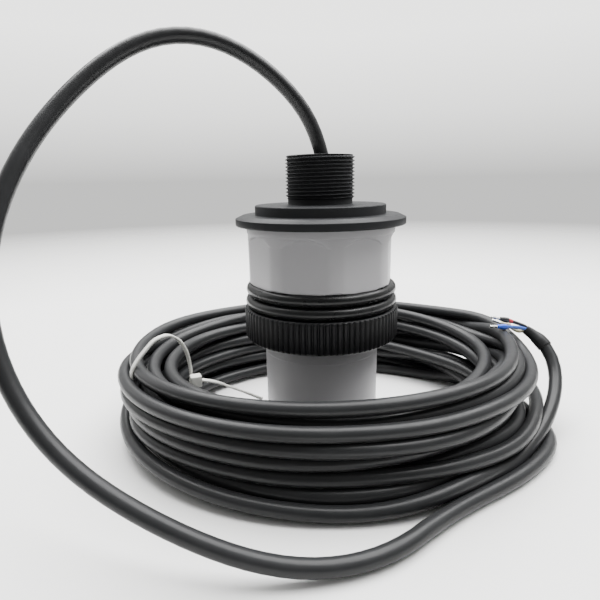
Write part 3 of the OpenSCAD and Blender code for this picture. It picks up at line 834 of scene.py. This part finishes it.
ring_lower_z = NUT_Z + NUT_H + GLUE + RING_SECTION_R
ring_upper_z = ring_lower_z + 2 * RING_SECTION_R + GLUE
rings = (("lower", RING_LOWER_R, ring_lower_z, 0.4), ("upper", RING_UPPER_R, ring_upper_z, 2.1))
for which, ring_r, ring_z, phase in rings:
    ring = shell(ring_rows(ring_r, ring_z, RING_WANDER, phase), ROUND_COLUMNS)
    piece("Seal_ring_" + which, ring, "seal_rubber", "seal_rings")

# One flute of the nut: how deep each of its columns is
FLUTE_DEPTHS = [0, 0, 0.06, 0.55, 1, 1, 0.55, 0.06]
nut_columns = FLUTES * len(FLUTE_DEPTHS)
depth = np.resize(FLUTE_DEPTHS, nut_columns + 1)
nut_out_r = NUT_R - FLUTE_DEPTH * depth


def nut_thread_radius(turn, height):
    groove = SHANK_R + THREAD_GAP - SHANK_DEPTH * (1 - ridge(turn))
    mouth = SHANK_R + 1.1 - np.minimum(height - NUT_Z, NUT_Z + NUT_H - height)
    return np.maximum(np.maximum(groove, SHANK_R - SHANK_DEPTH + 0.18), mouth)


nut_rows = thread_rows(
    nut_columns, NUT_Z, NUT_Z + NUT_H, SHANK_PITCH, 8, nut_thread_radius, COLLAR_TOP_Z)[::-1]
nut_ends = [(0, 1.25), (0.12, 0.95), (0.35, 0.6), (0.7, 0.25), (1.1, 0.06), (1.5, 0)]
nut_rows += [(np.minimum(nut_out_r, NUT_R - cut), NUT_Z + up) for up, cut in nut_ends]
nut_rows += [(np.minimum(nut_out_r, NUT_R - cut), NUT_Z + NUT_H - up) for up, cut in nut_ends[::-1]]
piece("Lock_nut", shell(nut_rows, nut_columns), "nut_black", "lock_nut")

# ---- cable, its end and its tie ----

whole_line = cable_line()
end_line = evenly(spline_through(whole_line[-END_POINTS:], MM), END_STEP)
sleeve_line = end_line[-round(SLEEVE_LENGTH / END_STEP):]
bare_end = end_line[:-round((SLEEVE_LENGTH - SLEEVE_OVERLAP) / END_STEP)]
line = np.vstack([whole_line[:-END_POINTS], evenly(bare_end, CABLE_STEP)])
cable_data = bpy.data.curves.new("Cable", "CURVE")
cable_data.dimensions = "3D"
cable_data.bevel_depth = CABLE_R
cable_data.bevel_resolution = 6
cable_data.use_fill_caps = True
spline = cable_data.splines.new("POLY")
spline.points.add(len(line) - 1)
spline.points.foreach_set("co", np.column_stack([line, np.ones(len(line))]).ravel())
spline.use_smooth = True
cable_data.materials.append(finish["cable_jacket"])
cable = bpy.data.objects.new("Cable", cable_data)
bpy.context.collection.objects.link(cable)
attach(cable, "sensor")
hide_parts("cable_lead", "cable_coil", "cable_tail", "cable_entry")


def sleeve_radius(i, angle):
    """The heat-shrink sleeve's outline: round on the cable, and three lobes where the wires leave it."""
    at = i / (len(sleeve_line) - 1)
    shrunk = np.interp(at, *SLEEVE_FORM)
    lobes = np.interp(at, [0.5, 1], [0, 0.09])
    return MM * shrunk * (1 + lobes * np.cos(3 * angle) + 0.01 * np.sin(5 * at * math.pi + 2 * np.cos(angle)))


on_cable = [piece("Heat_shrink", swept(sleeve_line, sleeve_radius), "sleeve_black")]


def stretch(start, along, low, high, step):
    """Points step apart on a straight line, from low to high metres past start in the direction along."""
    return evenly(np.array([start + low * along, start + high * along]), step)


def formed(line, form):
    """A tube along the line, from its (parts of the length, radii there in millimetres)."""
    radius = MM * np.interp(np.linspace(0, 1, len(line)), *form)
    return swept(line, lambda i, angle: radius[i])


def wire_end(color, route, collar_end):
    """One core out of the sleeve, with its ferrule's collar; gives back the mesh of the ferrule's pin."""
    route = MM * np.array(route, float)
    wire = spline_through(route, 0.4 * MM)
    on_cable.append(piece("Wire_" + color, swept(wire, lambda i, angle: WIRE_R), "wire_" + color))
    start = route[-1]
    end = MM * np.array(collar_end, float)
    length = np.linalg.norm(end - start)
    along = (end - start) / length
    collar = formed(stretch(start, along, -COLLAR_OVERLAP, length, 0.25 * MM), COLLAR_FORM)
    on_cable.append(piece("Ferrule_" + color, collar, "ferrule_" + color))
    pin_line = stretch(end, along, -PIN_OVERLAP, PIN_LENGTH, 0.12 * MM)
    last = len(pin_line) - 1

    def pin_radius(i, angle):
        crimp = 0.025 * (1 + math.cos(2 * math.pi * i / 8)) if 6 < i < last - 6 else 0
        tip = np.interp(i, [last - 3, last], [1, 0.75])
        return PIN_R * tip * (1 - crimp + 0.05 * np.cos(4 * angle))

    return swept(pin_line, pin_radius)


pins = [wire_end(*end) for end in WIRE_ENDS]
on_cable.append(piece("Ferrule_pins", joined(*pins), "tinned_copper"))
mark_start, mark_end = MM * np.array(WIRE_ENDS[0][1][-2:], float)
mark_along = (mark_end - mark_start) / np.linalg.norm(mark_end - mark_start)
mark = formed(stretch(mark_start, mark_along, 0, MARK_LENGTH, 0.15 * MM), MARK_FORM)
on_cable.append(piece("Wire_mark", mark, "mark_red"))

# The tie's strap runs around the turns where they are tied, and stands in a loop above them
tie_out = np.array([math.cos(TIE_ANGLE), math.sin(TIE_ANGLE)])
tie_across = np.array([-tie_out[1], tie_out[0], 0])
wound_line = line[:-4]
beside = (wound_line[:, :2] - COIL_CENTRE) @ tie_across[:2]
outward = (wound_line[:, :2] - COIL_CENTRE) @ tie_out
in_coil = (outward[:-1] > TIE_STRANDS_FROM) & (outward[:-1] < TIE_REACH)
crossing = (beside[:-1] * beside[1:] < 0) & in_coil
strands = np.column_stack([outward[:-1][crossing], wound_line[:-1, 2][crossing]])


def outer_hull(points):
    """The convex hull of flat points, anticlockwise."""
    points = sorted(map(tuple, points))
    sides = []
    for order in (points, points[::-1]):
        chain = []
        for p in order:
            while len(chain) > 1:
                (ax, ay), (bx, by) = chain[-2], chain[-1]
                if (bx - ax) * (p[1] - ay) - (by - ay) * (p[0] - ax) > 0:
                    break
                chain.pop()
            chain.append(p)
        sides += chain[:-1]
    return np.array(sides)


circle = np.linspace(0, 2 * math.pi, 16, endpoint=False)
reach = CABLE_R + TIE_T / 2
wrapped = [s + reach * np.array([math.cos(a), math.sin(a)]) for s in strands for a in circle]
strap = outer_hull(wrapped + list(MM * np.array(TIE_LOOP, float)))
strap[:, 1] = np.maximum(strap[:, 1], TIE_T / 2)
strap = np.column_stack([COIL_CENTRE + strap[:, :1] * tie_out, strap[:, 1]])
strap = evenly(np.vstack([strap, strap[:1]]), 0.4 * MM)
for _ in range(TIE_SMOOTHING):
    loop = strap[:-1]
    strap[:-1] = loop + 0.25 * (np.roll(loop, 1, axis=0) + np.roll(loop, -1, axis=0) - 2 * loop)
    strap[-1] = strap[0]
twist = TIE_TWIST * np.clip((strap[:, 2] - TIE_TWIST_FROM) / TIE_TWIST_OVER, 0, 1)
strap_across = np.stack([
    tie_across[0] * np.cos(twist) - tie_across[1] * np.sin(twist),
    tie_across[0] * np.sin(twist) + tie_across[1] * np.cos(twist),
    np.zeros(len(twist)),
], axis=1)


def ribbon(path, across, width, thickness, closed):
    """Points and faces of a flat strap with cut edges, and small teeth on one face."""
    count = len(path) - 1 if closed else len(path)
    tangent = np.gradient(path, axis=0)
    if closed:
        tangent[0] = tangent[-1] = path[1] - path[-2]
    verts = []
    for i in range(count):
        t = tangent[i] / np.linalg.norm(tangent[i])
        side = across[i] - t * (across[i] @ t)
        side /= np.linalg.norm(side)
        up = np.cross(t, side)
        tooth = TIE_TOOTH * (i % 3) / 2
        half_w, half_t, cut = width / 2, thickness / 2, thickness * 0.3
        section = (
            (-half_w, cut - half_t), (cut - half_w, -half_t), (half_w - cut, -half_t), (half_w, cut - half_t),
            (half_w, half_t - cut), (half_w - cut, half_t - tooth), (cut - half_w, half_t - tooth),
            (-half_w, half_t - cut),
        )
        verts.extend(path[i] + a * side + b * up for a, b in section)
    faces = []
    for i in range(count if closed else count - 1):
        a, b = i * 8, (i + 1) % count * 8
        faces += [(a + k, a + (k + 1) % 8, b + (k + 1) % 8, b + k) for k in range(8)]
    if not closed:
        faces += [tuple(range(8)), tuple(8 * count - 8 + k for k in range(8))]
    return verts, faces


def box_with_window(at, axes, size, cut, window):
    """A box with cut edges and a sunk window in its first face, at a place and along three axes."""
    b = bmesh.new()
    bmesh.ops.create_cube(b, size=1)
    bmesh.ops.scale(b, vec=size, verts=b.verts)
    bmesh.ops.bevel(b, geom=b.edges[:], offset=cut, segments=3, profile=0.6, affect="EDGES")
    b.faces.ensure_lookup_table()
    for turn in (1, -1):
        face = max(b.faces, key=lambda f: turn * f.calc_center_median().z)
        inner = bmesh.ops.inset_region(b, faces=[face], thickness=window)["faces"]
        bmesh.ops.translate(b, verts=face.verts, vec=(0, 0, -turn * 2 * window))
    turned_to = Matrix(axes).transposed()
    verts = [np.array(Vector(at) + turned_to @ v.co) for v in b.verts]
    b.verts.index_update()
    faces = [tuple(v.index for v in f.verts) for f in b.faces]
    b.free()
    return verts, faces


tail = spline_through(MM * np.array(TIE_TAIL, float), 0.4 * MM)
turn_over = np.linspace(0, 1, len(tail))[:, None]
tail_across = (1 - turn_over) * tie_across + turn_over * np.array([0.1, -0.75, 0.65])
head_out = Vector((*tie_out, 0))
head_axes = (Vector(tie_across), Vector((0, 0, 1)), head_out)
head_at = MM * np.array(TIE_HEAD, float)
head_size = MM * np.array(TIE_HEAD_SIZE)
tie = piece("Cable_tie", joined(
    ribbon(strap, strap_across, TIE_W, TIE_T, True),
    ribbon(tail, tail_across, TIE_W, TIE_T, False),
    box_with_window(head_at, head_axes, head_size, TIE_HEAD_CUT, TIE_HEAD_WINDOW),
), "tie_nylon")

# ---- the pieces that keep their CAD shape ----

for part in frame["record"]["subparts"]:
    if part["node"] in KEPT_NODES:
        node = frame["nodes"][part["node"]]
        node.data.materials.clear()
        node.data.materials.append(finish[part["material_slot"]])

# ---- floor, light and camera ----

floor_rows = [(r / MM, -FLOOR_DROP / MM) for r in FLOOR_RADII]
floor_verts, floor_faces = shell(floor_rows, 96, closed=False)
floor_mesh = bpy.data.meshes.new("Floor")
floor_mesh.from_pydata([tuple(v) for v in floor_verts], [], [tuple(f) for f in floor_faces])
floor = bpy.data.objects.new("Floor", floor_mesh)
bpy.context.collection.objects.link(floor)
floor_mesh.materials.append(finish["floor"])


def area_light(name, at, size, power, aim):
    data = bpy.data.lights.new(name, "AREA")
    data.shape = "RECTANGLE"
    data.size, data.size_y = size
    data.energy = power
    obj = bpy.data.objects.new(name, data)
    obj.location = at
    obj.rotation_euler = (Vector(aim) - Vector(at)).to_track_quat("-Z", "Y").to_euler()
    bpy.context.collection.objects.link(obj)


def studio_sky():
    """A pale backdrop that brightens upwards; as light it is dimmer, and darker still in front."""
    world = bpy.data.worlds.new("Studio")
    bpy.context.scene.world = world
    world.use_nodes = True
    n = Nodes(world)
    split = n.node("SeparateXYZ")
    n.link(n.node("TexCoord").outputs["Generated"], split.inputs[0])
    level = split.outputs["Z"]
    bright = n.node("ValToRGB")
    ramp = bright.color_ramp
    while len(ramp.elements) < len(SKY_HEIGHTS):
        ramp.elements.new(0.5)
    for stop, (height, value) in zip(ramp.elements, SKY_HEIGHTS):
        stop.position = height
        stop.color = (value, value, value * 0.985, 1)
    n.link(level, bright.inputs["Fac"])
    front = n.ramp(split.outputs["Y"], -0.9, 0.3, SKY_LIGHT * SKY_FRONT, SKY_LIGHT)
    strength = n.node("Mix", data_type="FLOAT")
    n.link(n.node("LightPath").outputs["Is Camera Ray"], strength.inputs["Factor"])
    n.link(front, strength.inputs["A"])
    strength.inputs["B"].default_value = 1.0
    background = world.node_tree.nodes["Background"]
    n.link(bright.outputs["Color"], background.inputs["Color"])
    n.link(strength.outputs["Result"], background.inputs["Strength"])


for light in LIGHTS:
    area_light(*light)
studio_sky()
ahead = Vector((
    math.sin(CAMERA_AIM) * math.cos(CAMERA_DOWN),
    math.cos(CAMERA_AIM) * math.cos(CAMERA_DOWN),
    -math.sin(CAMERA_DOWN),
))
level = Vector((math.cos(CAMERA_AIM), -math.sin(CAMERA_AIM), 0))
raised = level.cross(ahead)
right = level * math.cos(CAMERA_ROLL) + raised * math.sin(CAMERA_ROLL)
up = raised * math.cos(CAMERA_ROLL) - level * math.sin(CAMERA_ROLL)
camera_data = bpy.data.cameras.new("Camera")
camera_data.sensor_width = 36
camera_data.lens = CAMERA_LENS
camera_data.clip_start = 0.01
camera = bpy.data.objects.new("Camera", camera_data)
camera.matrix_world = Matrix.Translation(CAMERA_AT) @ Matrix((right, up, -ahead)).transposed().to_4x4()
bpy.context.collection.objects.link(camera)
bpy.context.scene.camera = camera
